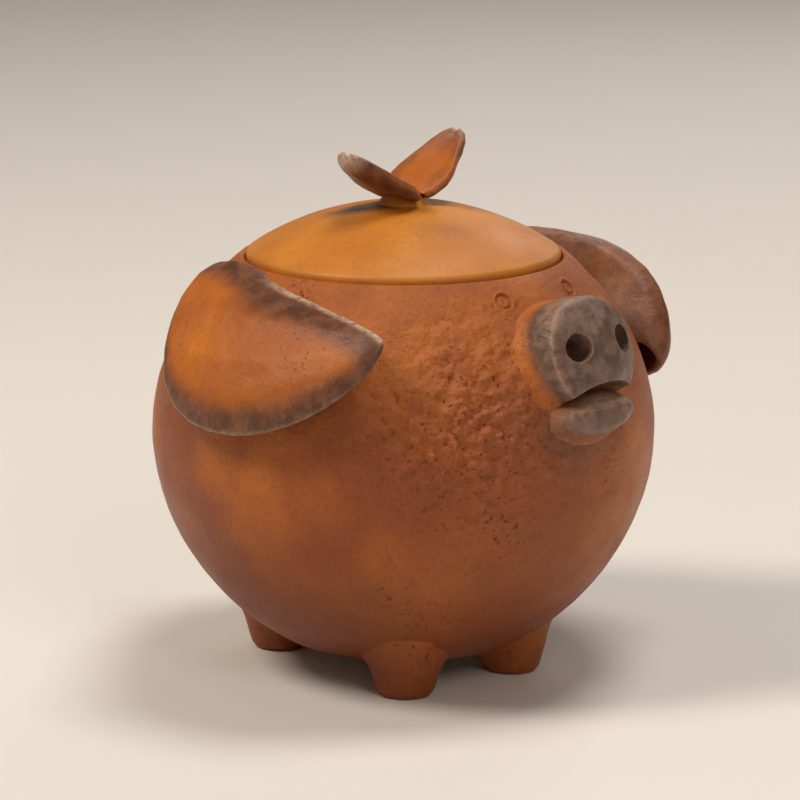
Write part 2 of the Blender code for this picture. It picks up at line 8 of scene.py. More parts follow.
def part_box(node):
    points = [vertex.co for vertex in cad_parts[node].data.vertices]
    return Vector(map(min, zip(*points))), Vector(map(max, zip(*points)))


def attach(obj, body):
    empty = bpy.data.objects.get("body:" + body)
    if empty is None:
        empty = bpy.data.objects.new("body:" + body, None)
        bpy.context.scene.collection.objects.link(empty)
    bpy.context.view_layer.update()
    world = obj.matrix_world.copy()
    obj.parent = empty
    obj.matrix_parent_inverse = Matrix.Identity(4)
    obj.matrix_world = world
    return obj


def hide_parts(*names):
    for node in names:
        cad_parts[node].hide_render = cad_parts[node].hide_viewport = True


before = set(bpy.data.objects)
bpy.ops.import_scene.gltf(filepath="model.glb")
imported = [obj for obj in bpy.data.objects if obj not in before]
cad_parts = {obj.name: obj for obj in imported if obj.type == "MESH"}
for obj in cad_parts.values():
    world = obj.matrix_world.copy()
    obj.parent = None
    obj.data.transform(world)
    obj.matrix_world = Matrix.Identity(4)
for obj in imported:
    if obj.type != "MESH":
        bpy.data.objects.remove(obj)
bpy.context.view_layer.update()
print("frame loaded")

mm = 0.001
bowlLow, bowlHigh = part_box("pot_body")
shoulderLow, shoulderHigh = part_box("pot_shoulder")
lidLow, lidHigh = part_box("lid")

# the round skin that every luted piece sits on
potSkin = {
    "radius": (bowlHigh.x - bowlLow.x) / 2,
    "bellyLevel": bowlHigh.z,
    "top": lidHigh.z,
    "base": bowlLow.z,
    "baseRadius": 27.0 * mm,
}
belly = Vector(((bowlLow.x + bowlHigh.x) / 2, (bowlLow.y + bowlHigh.y) / 2, bowlHigh.z))
upperRise = potSkin["top"] - potSkin["bellyLevel"]
lowerDrop = (potSkin["bellyLevel"] - potSkin["base"]) / math.sqrt(
    1 - (potSkin["baseRadius"] / potSkin["radius"]) ** 2
)


def skinRadius(level):
    rise = level - potSkin["bellyLevel"]
    return potSkin["radius"] * math.sqrt(1 - (rise / (upperRise if rise > 0 else lowerDrop)) ** 2)


def aboveSkin(points):  # heights over the pot's skin, and the ways out
    flat = points - np.array(belly)
    tall = np.where(flat[:, 2] > 0, upperRise, lowerDrop)
    wide = np.full(len(flat), potSkin["radius"])
    spans = np.stack((wide, wide, tall), axis=1)
    size = np.linalg.norm(flat / spans, axis=1)
    out = flat / spans**2
    out /= np.linalg.norm(out, axis=1)[:, None]
    return (1 - 1 / size) * (flat * out).sum(axis=1), out


def placeOnPot(points):  # degrees from the face to the pig's left, and degrees above the belly
    flat = points - np.array(belly)
    azimuth = np.degrees(np.arctan2(flat[:, 0], -flat[:, 1]))
    return azimuth, np.degrees(np.arctan2(flat[:, 2], np.hypot(flat[:, 0], flat[:, 1])))


def pointOnPot(azimuth, latitude):
    turn = math.radians(azimuth)
    tilt = math.radians(latitude)
    way = Vector((math.sin(turn) * math.cos(tilt), -math.cos(turn) * math.cos(tilt), math.sin(tilt)))
    tall = upperRise if latitude > 0 else lowerDrop
    return belly + way / math.hypot(math.hypot(way.x, way.y) / potSkin["radius"], way.z / tall)


def pickOnly(piece):
    if bpy.context.object and bpy.context.object.mode != "OBJECT":
        bpy.ops.object.mode_set(mode="OBJECT")
    bpy.ops.object.select_all(action="DESELECT")
    piece.select_set(True)
    bpy.context.view_layer.objects.active = piece


def applyAll(piece):
    pickOnly(piece)
    for modifier in list(piece.modifiers):
        bpy.ops.object.modifier_apply(modifier=modifier.name)


def addModifier(piece, kind, **settings):
    modifier = piece.modifiers.new(kind.lower(), kind)
    for key, value in settings.items():
        setattr(modifier, key, value)


def readPoints(piece):
    points = np.empty(len(piece.data.vertices) * 3)
    normals = np.empty(len(piece.data.vertices) * 3)
    piece.data.vertices.foreach_get("co", points)
    piece.data.vertex_normals.foreach_get("vector", normals)
    return points.reshape(-1, 3), normals.reshape(-1, 3)


def movePoints(piece, points):
    piece.data.vertices.foreach_set("co", points.ravel())
    piece.data.update()


def paint(piece, name, values):  # a value per point for the shader to read
    layer = piece.data.attributes.new(name, "FLOAT", "POINT")
    layer.data.foreach_set("value", np.asarray(values, dtype=np.float32))


def ramp(low, high, values):
    share = np.clip((values - low) / (high - low), 0, 1)
    return share * share * (3 - 2 * share)


def spot(azimuth, latitude, at, wide):  # soft round patch on the pot
    across = (azimuth - at[0]) * np.cos(np.radians(latitude))
    return np.exp(-((across / wide[0]) ** 2) - ((latitude - at[1]) / wide[1]) ** 2)


def group(piece, name, weights):
    made = piece.vertex_groups.new(name=name)
    for index in np.flatnonzero(weights > 0.01):
        made.add([int(index)], float(weights[index]), "REPLACE")


# dents pressed into the clay, always inwards
def knead(piece, size, depth, where="", detail=2, contrast=1.0):
    texture = bpy.data.textures.new(piece.name + "Dents", "CLOUDS")
    texture.noise_scale = size
    texture.noise_depth = detail
    texture.contrast = contrast
    addModifier(
        piece, "DISPLACE", texture=texture, strength=depth, mid_level=1.0,
        texture_coords="LOCAL", vertex_group=where,
    )


def copyNode(node, name):
    piece = bpy.data.objects.new(name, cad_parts[node].data.copy())
    bpy.context.collection.objects.link(piece)
    pickOnly(piece)
    bpy.ops.object.mode_set(mode="EDIT")
    bpy.ops.mesh.select_all(action="SELECT")
    bpy.ops.mesh.remove_doubles(threshold=0.001 * mm)
    bpy.ops.object.mode_set(mode="OBJECT")
    return piece


def soften(piece, voxel, passes):
    pickOnly(piece)
    piece.data.remesh_voxel_size = voxel
    bpy.ops.object.voxel_remesh()
    addModifier(piece, "SMOOTH", factor=0.5, iterations=passes)
    applyAll(piece)


def hand(piece, nodes, body, clay):
    piece.data.materials.clear()
    piece.data.materials.append(clay)
    piece.data.shade_smooth()
    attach(piece, body)
    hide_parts(*nodes)


# camera at the photo's angle
cameraSet = {
    "azimuth": -47.0,
    "elevation": 12.9,
    "distance": 0.8,
    "imageSide": 800,
    "pixelsPerMetre": 4500.0,  # at the pot's axis
    "bellyPixel": (403.5, 425.0),  # where the middle of the belly shows
}


def placeCamera(s):
    turn = math.radians(s["azimuth"])
    tilt = math.radians(s["elevation"])
    back = Vector((math.sin(turn) * math.cos(tilt), -math.cos(turn) * math.cos(tilt), math.sin(tilt)))
    right = Vector((math.cos(turn), math.sin(turn), 0))
    up = back.cross(right)
    acrossOff = (s["bellyPixel"][0] - s["imageSide"] / 2) / s["pixelsPerMetre"]
    downOff = (s["bellyPixel"][1] - s["imageSide"] / 2) / s["pixelsPerMetre"]
    bpy.ops.object.camera_add()
    camera = bpy.context.object
    camera.name = "photoCamera"
    eye = belly - right * acrossOff + up * downOff + back * s["distance"]
    camera.matrix_world = Matrix.Translation(eye) @ Matrix((right, up, back)).transposed().to_4x4()
    camera.data.sensor_width = 36
    camera.data.lens = 36 * s["distance"] * s["pixelsPerMetre"] / s["imageSide"]
    camera.data.clip_start = 0.01
    bpy.context.scene.camera = camera
    return right, up, back


viewRight, viewUp, viewBack = placeCamera(cameraSet)
print("camera placed")


# fired clay: orange body colour, painted smoke and wear, painted highlights, glints, sheen and shade,
# grain, crumbs and pits
def fireClay(name, look):
    material = bpy.data.materials.new(name)
    material.use_nodes = True
    nodes = material.node_tree.nodes
    links = material.node_tree.links
    shader = nodes["Principled BSDF"]

    def plug(socket, value):
        if isinstance(value, bpy.types.NodeSocket):
            links.new(value, socket)
        elif isinstance(value, tuple) and len(socket.default_value) == 4:
            socket.default_value = (*value, 1)
        else:
            socket.default_value = value

    def node(kind, **inputs):
        made = nodes.new(kind)
        for key, value in inputs.items():
            plug(made.inputs[key.replace("_", " ")], value)
        return made

    def calc(operation, a, b):
        made = nodes.new("ShaderNodeMath")
        made.operation = operation
        plug(made.inputs[0], a)
        plug(made.inputs[1], b)
        return made.outputs[0]

    def grade(value, low, high):  # 0 to 1 between two values
        made = node("ShaderNodeMapRange", Value=value, From_Min=low, From_Max=high)
        made.interpolation_type = "SMOOTHSTEP"
        return made.outputs["Result"]

    def tint(share, a, b):
        made = nodes.new("ShaderNodeMix")
        made.data_type = "RGBA"
        for index, value in ((0, share), (6, a), (7, b)):
            plug(made.inputs[index], value)
        return made.outputs[2]

    def painted(layer):
        made = nodes.new("ShaderNodeAttribute")
        made.attribute_name = layer
        return made.outputs["Fac"]

    place = nodes.new("ShaderNodeTexCoord").outputs["Object"]

    def cloud(scale, detail, roughness=0.55, where=place):
        made = node("ShaderNodeTexNoise", Vector=where, Scale=scale, Detail=detail, Roughness=roughness)
        return made.outputs["Fac"]

    drift = cloud(24.0, 3.0)
    blotch = cloud(110.0, 5.0)
    wrinkle = cloud(820.0, 6.0, 0.68)
    grain = cloud(2600.0, 3.0, 0.7)

    colour = tint(grade(drift, 0.36, 0.64), look["deep"], look["bright"])
    colour = tint(calc("MULTIPLY", grade(blotch, 0.4, 0.75), 0.6), colour, look["rose"])
    # rosier front of the belly: partly the clay's own tone, partly painted sheen
    colour = tint(calc("MULTIPLY", painted("roseAndSheen"), 0.8), colour, look["rose"])
    # painted shade: darker towards the bottom of the pot and of its feet
    colour = tint(calc("MULTIPLY", painted("lowShade"), 0.7), colour, look["lowShade"])

    # on the leaves this smoke layer also carries painted shade on their undersides
    smokeEdge = calc("MULTIPLY", calc("SUBTRACT", cloud(75.0, 6.0, 0.62), 0.5), 0.55)
    smoke = grade(calc("ADD", painted("smoke"), smokeEdge), 0.08, 0.88)
    soot = tint(grade(cloud(230.0, 6.0, 0.65), 0.35, 0.68), look["soot"], look["sootPale"])
    colour = tint(calc("MULTIPLY", smoke, 0.94), colour, soot)

    # sand that has fallen out, with painted shade in the pits and in the hollows of the wrinkles
    pitted = calc("ADD", grade(cloud(55.0, 2.0), 0.5, 0.68), painted("pitted"))
    pits = calc("MULTIPLY", grade(cloud(900.0, 2.0, 0.5), 0.62, 0.72), calc("MINIMUM", pitted, 1.0))
    colour = tint(calc("MULTIPLY", pits, 0.55), colour, look["hollowShade"])
    # painted shade in the low parts of the wrinkles
    colour = tint(calc("MULTIPLY", grade(wrinkle, 0.52, 0.36), look["wrinkleShade"]), colour, look["hollowShade"])
    # painted glints: pale specks on the peaks of the fine grain
    colour = tint(calc("MULTIPLY", grade(grain, 0.56, 0.72), 0.22), colour, look["worn"])

    # painted highlights on rims and edges, with some real wear, kept to the raised parts of the wrinkles
    highlightAndWear = calc("MULTIPLY", painted("highlightAndWear"), grade(wrinkle, 0.3, 0.55))
    colour = tint(highlightAndWear, colour, look["worn"])
    links.new(colour, shader.inputs["Base Color"])

    dull = calc("ADD", calc("MULTIPLY", calc("SUBTRACT", blotch, 0.5), 0.35), look["roughness"])
    dull = calc("SUBTRACT", dull, calc("MULTIPLY", smoke, 0.08))
    links.new(dull, shader.inputs["Roughness"])
    shader.inputs["Specular IOR Level"].default_value = 0.4

    height = calc("ADD", calc("MULTIPLY", wrinkle, 0.8), calc("MULTIPLY", grain, 0.2))
    height = calc("SUBTRACT", height, calc("MULTIPLY", pits, 0.7))
    # fine strokes of the brush that smoothed the wet clay
    turned = node("ShaderNodeMapping", Vector=place)
    turned.inputs["Rotation"].default_value = look["strokeTurn"]
    turned.inputs["Scale"].default_value = (2600.0, 120.0, 120.0)
    strokes = cloud(1.0, 3.0, 0.6, turned.outputs["Vector"])
    height = calc("ADD", height, calc("MULTIPLY", strokes, look["stroke"]))
    bump = node("ShaderNodeBump", Height=height, Strength=look["bump"], Distance=0.55 * mm)
    links.new(bump.outputs["Normal"], shader.inputs["Normal"])
    return material


potLook = {
    "deep": (0.27, 0.051, 0.003),
    "bright": (0.55, 0.148, 0.007),
    "rose": (0.35, 0.086, 0.021),
    # colour of the painted shade low on the pot
    "lowShade": (0.18, 0.032, 0.002),
    # painted shade in the pits and in the hollows of the wrinkles
    "hollowShade": (0.06, 0.017, 0.005),
    "soot": (0.041, 0.022, 0.018),
    "sootPale": (0.144, 0.082, 0.068),
    # pale colour of the painted highlights and glints, and of wear
    "worn": (0.50, 0.29, 0.18),
    # how much painted shade the hollows of the wrinkles get
    "wrinkleShade": 0.2,
    "roughness": 0.42,
    "bump": 1.0,
    "stroke": 0.15,
    "strokeTurn": (0, 0, 0.5),
}
lidLook = dict(
    potLook, deep=(0.50, 0.155, 0.011), bright=(0.65, 0.235, 0.021), rose=(0.52, 0.175, 0.026),
    bump=0.35, wrinkleShade=0.12,
)
earLook = dict(
    potLook, deep=(0.37, 0.086, 0.006), bright=(0.59, 0.168, 0.009), rose=(0.41, 0.112, 0.022),
    soot=(0.072, 0.025, 0.012), sootPale=(0.194, 0.078, 0.041), worn=(0.60, 0.42, 0.30),
    bump=0.4, wrinkleShade=0.15,
)
snoutLook = dict(
    potLook, bump=0.6, stroke=0.9, strokeTurn=(0.3, 0.9, 0.4), wrinkleShade=0.25,
    soot=(0.085, 0.055, 0.043), sootPale=(0.25, 0.165, 0.13),
)
potClay = fireClay("potClay", potLook)
lidClay = fireClay("lidClay", lidLook)
earClay = fireClay("earClay", earLook)
snoutClay = fireClay("snoutClay", snoutLook)
print("clay mixed")


def ball(name, segments, rings, lowCut, highCut):  # the egg of the pot between two levels
    bpy.ops.object.select_all(action="DESELECT")
    bpy.ops.mesh.primitive_uv_sphere_add(
        segments=segments, ring_count=rings, radius=potSkin["radius"], location=belly
    )
    piece = bpy.context.object
    piece.name = name
    bpy.ops.object.transform_apply(location=True, rotation=True, scale=True)
    points, normals = readPoints(piece)
    rise = points[:, 2] - potSkin["bellyLevel"]
    points[:, 2] += rise * (np.where(rise > 0, upperRise, lowerDrop) / potSkin["radius"] - 1)
    movePoints(piece, points)
    bpy.ops.object.mode_set(mode="EDIT")
    for level, above in ((lowCut, False), (highCut, True)):
        if level:
            bpy.ops.mesh.select_all(action="SELECT")
            bpy.ops.mesh.bisect(
                plane_co=(0, 0, level), plane_no=(0, 0, 1), clear_outer=above, clear_inner=not above,
                threshold=0.001 * mm,
            )
    bpy.ops.object.mode_set(mode="OBJECT")
    points, normals = readPoints(piece)
    fromCut = np.abs(points[:, 2] - (highCut or lowCut))  # the lid's line stays true
    group(piece, "outside", ramp(0.3 * mm, 6 * mm, fromCut))
    return piece


def drawRings(piece, startLevel, rings):  # pull the open edge along rings of (radius, level) and close it
    pickOnly(piece)
    points, normals = readPoints(piece)
    bpy.ops.object.mode_set(mode="EDIT")
    bpy.ops.mesh.select_mode(type="EDGE")
    bpy.ops.mesh.select_all(action="DESELECT")
    bpy.ops.object.mode_set(mode="OBJECT")
    onEdge = np.abs(points[:, 2] - startLevel) < 0.01 * mm
    for edge in piece.data.edges:
        edge.select = bool(onEdge[edge.vertices[0]] and onEdge[edge.vertices[1]])
    bpy.ops.object.mode_set(mode="EDIT")
    radius, level = skinRadius(startLevel), startLevel
    for nextRadius, nextLevel in rings:
        bpy.ops.mesh.extrude_region_move()
        share = nextRadius / radius
        bpy.ops.transform.resize(value=(share, share, 1), center_override=(belly.x, belly.y, level))
        bpy.ops.transform.translate(value=(0, 0, nextLevel - level))
        radius, level = nextRadius, nextLevel
    bpy.ops.mesh.edge_face_add()
    bpy.ops.mesh.select_all(action="SELECT")
    bpy.ops.mesh.normals_make_consistent(inside=False)
    bpy.ops.object.mode_set(mode="OBJECT")


def refine(piece, near, cuts):  # finer mesh where a mark is pressed in
    pickOnly(piece)
    bpy.ops.object.mode_set(mode="EDIT")
    bpy.ops.mesh.select_mode(type="FACE")
    bpy.ops.mesh.select_all(action="DESELECT")
    bpy.ops.object.mode_set(mode="OBJECT")
    for face in piece.data.polygons:
        face.select = all(near[i] for i in face.vertices)
    bpy.ops.object.mode_set(mode="EDIT")
    bpy.ops.mesh.subdivide(number_cuts=cuts)
    bpy.ops.object.mode_set(mode="OBJECT")


# pot: the egg cut open for the lid, drawn in to the gallery, the throat and the inside
potSet = {
    "segments": 300,
    "rings": 200,
    "play": 0.35 * mm,
    "rimRound": 0.5 * mm,
    "ledge": 4.0 * mm,
    "ledgeLevel": lidLow.z - 0.3 * mm,
    "throat": 4.5 * mm,
    "flare": 7.0 * mm,
    "wall": 4.5 * mm,
    "floor": 5.0 * mm,
    "snoutLatitude": 25.0,
    "snoutPitch": 17.0,
    "nostrilSide": 7.0 * mm,
    "nostrilRise": 1.5 * mm,
    "nostrilRadius": 2.9 * mm,
    "eyeAzimuth": 15.0,
    "eyeLatitude": 41.0,
    "eyeRing": 1.6 * mm,
    "eyeGroove": 0.32 * mm,
    "eyeDepth": 0.5 * mm,
    "drillDepth": 40 * mm,
    "innerRings": 15,
    "dents": ((26 * mm, 0.7 * mm), (7 * mm, 0.28 * mm)),  # size and depth
    "roughAt": (-32.0, 10.0),  # azimuth and latitude, as in the next places
    "roughSize": (21.0, 24.0),
    "roughDents": (3.0 * mm, 2.0 * mm),
    # where the rosier front, partly painted sheen, sits
    "roseAndSheenAt": (-18.0, 8.0),
    "roseAndSheenSize": (30.0, 32.0),
    "lowShadeSpan": (5.0, -45.0),
    "smokeAt": (-3.0, 9.0),
    "smokeSize": (17.0, 11.0),
    "smoke": 0.6,
}
lidRadius = (lidHigh.x - lidLow.x) / 2


def makePot(s):
    rim = shoulderHigh.z
    pot = ball("potBody", s["segments"], s["rings"], potSkin["base"], rim)
    gallery = lidRadius + s["play"]
    throatLevel = s["ledgeLevel"] - s["throat"]
    start = throatLevel - s["flare"]
    floorLevel = potSkin["base"] + s["floor"]
    inner = potSkin["radius"] - s["wall"]
    rings = [(gallery + s["rimRound"] * 0.3, rim - s["rimRound"] * 0.3), (gallery, rim - s["rimRound"])]
    rings += [(gallery, s["ledgeLevel"]), (gallery - s["ledge"], s["ledgeLevel"])]
    rings.append((gallery - s["ledge"], throatLevel))
    for i in range(s["innerRings"]):
        level = start + (floorLevel - start) * i / (s["innerRings"] - 1)
        rise = level - potSkin["bellyLevel"]
        tall = (upperRise if rise > 0 else lowerDrop) - s["wall"]
        rings.append((inner * math.sqrt(1 - (rise / tall) ** 2), level))
    drawRings(pot, rim, rings)
    drawRings(pot, potSkin["base"], [(potSkin["baseRadius"] * 0.5, potSkin["base"])])

    tilt = math.radians(s["snoutPitch"])
    out = Vector((0, -math.cos(tilt), math.sin(tilt)))
    up = Vector((0, math.sin(tilt), math.cos(tilt)))
    root = pointOnPot(0, s["snoutLatitude"])
    for side in (-1, 1):
        bpy.ops.object.select_all(action="DESELECT")
        bpy.ops.mesh.primitive_cylinder_add(
            vertices=40, radius=s["nostrilRadius"], depth=s["drillDepth"],
            location=root + Vector((side * s["nostrilSide"], 0, 0)) + up * s["nostrilRise"],
            rotation=out.to_track_quat("Z", "Y").to_euler(),
        )
        drill = bpy.context.object
        addModifier(pot, "BOOLEAN", operation="DIFFERENCE", solver="EXACT", object=drill)
        applyAll(pot)
        bpy.data.objects.remove(drill)

    # the lumpy, scratched patch in front of the near ear
    azimuth, latitude = placeOnPot(readPoints(pot)[0])
    refine(pot, spot(azimuth, latitude, s["roughAt"], s["roughSize"]) > 0.15, 2)
    eyes = [pointOnPot(side * s["eyeAzimuth"], s["eyeLatitude"]) for side in (-1, 1)]
    for eye in eyes:
        refine(pot, np.linalg.norm(readPoints(pot)[0] - np.array(eye), axis=1) < 4 * mm, 7)
    points, normals = readPoints(pot)
    azimuth, latitude = placeOnPot(points)
    outer = (np.abs(aboveSkin(points)[0]) < 0.3 * mm) * 1.0
    group(pot, "rough", spot(azimuth, latitude, s["roughAt"], s["roughSize"]) * outer)
    for size, depth in s["dents"]:
        knead(pot, size, depth, "outside")
    knead(pot, *s["roughDents"], "rough", detail=3, contrast=1.6)
    applyAll(pot)

    # each eye is stamped with the end of a tube
    points, normals = readPoints(pot)
    for eye in eyes:
        away = points - np.array(eye)
        out = np.array((eye - belly).normalized())
        deep = away @ out
        radial = np.linalg.norm(away - deep[:, None] * out, axis=1)
        near = np.abs(deep) < 2 * mm
        press = np.exp(-(((radial - s["eyeRing"]) / s["eyeGroove"]) ** 2)) * s["eyeDepth"]
        press += np.exp(-((radial / (0.55 * s["eyeRing"])) ** 2)) * 0.2 * mm
        press -= np.exp(-(((radial - 1.4 * s["eyeRing"]) / (1.2 * s["eyeGroove"])) ** 2)) * 0.12 * mm
        points -= (press * near)[:, None] * out
    movePoints(pot, points)
    azimuth, latitude = placeOnPot(points)
    # rosier front of the belly, partly painted sheen
    paint(pot, "roseAndSheen", spot(azimuth, latitude, s["roseAndSheenAt"], s["roseAndSheenSize"]))
    # painted shade, darker towards the bottom
    paint(pot, "lowShade", ramp(*s["lowShadeSpan"], latitude))
    paint(pot, "pitted", spot(azimuth, latitude, s["roughAt"], s["roughSize"]))
    paint(pot, "smoke", spot(azimuth, latitude, s["smokeAt"], s["smokeSize"]) * s["smoke"])
    return pot


pot = makePot(potSet)
hand(pot, ("pot_body", "pot_shoulder"), "pot", potClay)
print("pot thrown")

# luted pieces start from their solids, softened like worked clay, and run out into the pot's skin
earPiece = {"voxel": 0.45 * mm, "smooth": 26, "fillet": 0, "clay": earClay, "slot": "ear_clay"}
footPiece = {"voxel": 0.45 * mm, "smooth": 10, "fillet": 4.0 * mm, "clay": potClay, "slot": "pot_clay"}
facePiece = {"voxel": 0.35 * mm, "smooth": 9, "fillet": 3.0 * mm, "clay": snoutClay, "slot": "smoked_clay"}
lutedSet = {
    "ear_right": dict(earPiece, name="earRight"),
    "ear_left": dict(earPiece, name="earLeft", smooth=60),
    "snout": dict(facePiece, name="snoutDisc"),
    "lower_lip": dict(facePiece, name="lowerLip", voxel=0.3 * mm, smooth=12, fillet=2.5 * mm, fuller=1.3),
    "tail": dict(footPiece, name="curlTail", voxel=0.3 * mm, smooth=8, fillet=2.5 * mm),
    "foot_front_left": dict(footPiece, name="footFrontLeft"),
    "foot_front_right": dict(footPiece, name="footFrontRight"),
    "foot_rear_left": dict(footPiece, name="footRearLeft"),
    "foot_rear_right": dict(footPiece, name="footRearRight"),
}
luteSet = {
    "jointHeight": 0.7 * mm,  # what lies lower is the joint face
    "jointSink": 1.8 * mm,
    "edgeSink": 1.0 * mm,
    "earSink": 2.2 * mm,
    "earReach": (1 * mm, 3 * mm),
    "dents": (6 * mm, 0.3 * mm),
}


def fillOut(piece, node, most):  # the ends of the lip get fuller
    points, normals = readPoints(piece)
    height, out = aboveSkin(points)
    low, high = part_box(node)
    side = np.clip(np.abs(points[:, 0] - (low.x + high.x) / 2) / ((high.x - low.x) / 2), 0, 0.97)
    grow = np.minimum(np.sqrt((1 - side**4) / (1 - side**2)), most)
    points += out * (np.maximum(height, 0) * (grow - 1))[:, None]
    movePoints(piece, points)


def drawOut(points, normals, height, out, fillet):  # clay drawn out over the pot's skin
    side = normals - out * (normals * out).sum(axis=1)[:, None]
    steep = np.linalg.norm(side, axis=1)
    left = np.clip(fillet - np.maximum(height, 0), 0, fillet)
    draw = (fillet - np.sqrt(fillet**2 - left**2)) * ramp(0.1, 0.4, steep)
    points = points + side / np.maximum(steep, 0.1)[:, None] * draw[:, None]
    return points - out * (luteSet["edgeSink"] * (1 - ramp(0, fillet, height)))[:, None]


def lute(node, s):
    piece = copyNode(node, s["name"])
    if s["fillet"]:  # the joint face goes into the pot
        points, normals = readPoints(piece)
        height, out = aboveSkin(points)
        points -= out * np.where(height < luteSet["jointHeight"], luteSet["jointSink"], 0)[:, None]
        movePoints(piece, points)
    if s.get("fuller"):
        fillOut(piece, node, s["fuller"])
    soften(piece, s["voxel"], s["smooth"])
    points, normals = readPoints(piece)
    height, out = aboveSkin(points)
    if s["fillet"]:
        points = drawOut(points, normals, height, out, s["fillet"])
    else:  # an ear's rim stays free, and only its back is pressed home
        home = ramp(0, -0.6, (normals * out).sum(axis=1)) * (1 - ramp(*luteSet["earReach"], height))
        points -= out * (luteSet["earSink"] * home)[:, None]
    movePoints(piece, points)
    knead(piece, *luteSet["dents"])
    applyAll(piece)
    return piece


# how far each point of an ear is from its upper and lower edges, and its share of the way from the tip
def rimDistance(points, strips=47):
    azimuth, latitude = placeOnPot(points)
    azimuth = np.abs(azimuth)
    steps = np.linspace(azimuth.min(), azimuth.max(), strips + 1)
    strip = np.clip(np.searchsorted(steps, azimuth) - 1, 0, strips - 1)
    rows = [latitude[strip == i] for i in range(strips)]
    upper = np.array([row.max() if len(row) else 0 for row in rows])
    lower = np.array([row.min() if len(row) else 0 for row in rows])
    perDegree = math.radians(1) * potSkin["radius"]
    middle = (steps[:-1] + steps[1:]) / 2
    fromTop = (np.interp(azimuth, middle, upper) - latitude) * perDegree
    fromLow = (latitude - np.interp(azimuth, middle, lower)) * perDegree
    return fromTop, fromLow, (azimuth - steps[0]) / (steps[-1] - steps[0])


# smoke bands along both rims, widest halfway along the ear; a painted highlight runs along the near ear's
# top rim towards the tip, fainter along its lower rim
earPaint = {
    "topBand": (9 * mm, 6 * mm),  # width at the ends, and what the middle adds
    "lowBand": (6 * mm, 5 * mm),
    "topSmoke": 1.15,
    "tipReach": 0.35,
    "tipSmoke": 0.2,
    "farSmoke": (0.2, 0.4),  # all over, and in the bands
    "topRim": (0.6 * mm, 2.4 * mm),
    "lowRim": (0.2 * mm, 1 * mm),
    "highlightSpan": (0.8, 0.4),
    "lowWear": 0.3,
    "mostWear": 0.9,
}


def paintEar(piece, near, s):
    fromTop, fromLow, along = rimDistance(readPoints(piece)[0])
    swell = np.sin(math.pi * along)
    topBand = 1 - ramp(0, 1, fromTop / (s["topBand"][0] + s["topBand"][1] * swell))
    lowBand = 1 - ramp(0, 1, fromLow / (s["lowBand"][0] + s["lowBand"][1] * swell))
    tipBand = 1 - ramp(0, s["tipReach"], along)
    bands = np.clip(topBand * s["topSmoke"] + lowBand + tipBand * s["tipSmoke"], 0, s["topSmoke"])
    paint(piece, "smoke", bands if near else s["farSmoke"][0] + bands * s["farSmoke"][1])
    # painted highlight on the near ear's top rim towards the tip, and fainter along its lower rim
    rim = (1 - ramp(*s["topRim"], fromTop)) * ramp(*s["highlightSpan"], along)
    rim += s["lowWear"] * (1 - ramp(*s["lowRim"], fromLow))
    paint(piece, "highlightAndWear", np.clip(rim, 0, s["mostWear"]) * near)


# smoke deepens away from the pot, and the snout's rounded edge gets a painted highlight
snoutPaint = {
    "rootSpan": (-1 * mm, 3 * mm),
    "rootSmoke": 0.55,
    "frontSpan": (2 * mm, 5 * mm),
    "frontSmoke": 0.4,
    "lowSpan": (43 * mm, 13 * mm),  # above the belly
    "lowSmoke": 0.2,
    "edgeFacing": 0.62,
    "edgeWidth": 0.16,
    "edgeSpan": (3 * mm, 6 * mm),
    "edgeWear": 0.55,
}


def paintSnout(piece, s):
    points, normals = readPoints(piece)
    height, out = aboveSkin(points)
    smoke = ramp(*s["rootSpan"], height) * s["rootSmoke"] + ramp(*s["frontSpan"], height) * s["frontSmoke"]
    smoke += ramp(*s["lowSpan"], points[:, 2] - belly.z) * s["lowSmoke"]
    paint(piece, "smoke", smoke)
    # painted highlight on the snout's rounded edge
    facing = (normals * out).sum(axis=1)
    edge = np.exp(-(((facing - s["edgeFacing"]) / s["edgeWidth"]) ** 2))
    paint(piece, "highlightAndWear", edge * ramp(*s["edgeSpan"], height) * s["edgeWear"])


lipPaint = {
    "rootSmoke": 0.4,
    "frontSpan": (-1 * mm, 4 * mm),
    "frontSmoke": 0.35,
    "topFacing": (0.35, 0.8),
    "topSpan": (2 * mm, 5 * mm),
    "topWear": 0.6,
}


def paintLip(piece, s):
    points, normals = readPoints(piece)
    height, out = aboveSkin(points)
    paint(piece, "smoke", ramp(*s["frontSpan"], height) * s["frontSmoke"] + s["rootSmoke"])
    # painted highlight on the upward-facing top of the lip
    top = ramp(*s["topFacing"], normals[:, 2])
    paint(piece, "highlightAndWear", top * ramp(*s["topSpan"], height) * s["topWear"])


footPaint = {"flat": 0.4 * mm, "lowShade": 0.9, "paler": 0.4, "reach": 14 * mm}


def finishFoot(piece, s):
    points, normals = readPoints(piece)
    points[:, 2] = np.where(points[:, 2] < s["flat"], 0, points[:, 2])  # stands flat
    movePoints(piece, points)
    # painted shade, darkest where the foot meets the floor
    paint(piece, "lowShade", s["lowShade"] - s["paler"] * ramp(0, s["reach"], points[:, 2]))


tailPaint = {"span": (4 * mm, 10 * mm), "smoke": 0.5}


def paintTail(piece, s):
    height, out = aboveSkin(readPoints(piece)[0])
    paint(piece, "smoke", ramp(*s["span"], height) * s["smoke"])


for node, s in lutedSet.items():
    piece = lute(node, s)
    if node.startswith("ear"):
        paintEar(piece, node == "ear_right", earPaint)
    elif node == "snout":
        paintSnout(piece, snoutPaint)
    elif node == "lower_lip":
        paintLip(piece, lipPaint)
    elif node.startswith("foot"):
        finishFoot(piece, footPaint)
    else:
        paintTail(piece, tailPaint)
    hand(piece, (node,), "pot", s["clay"])
print("ears, snout, feet and tail luted on")

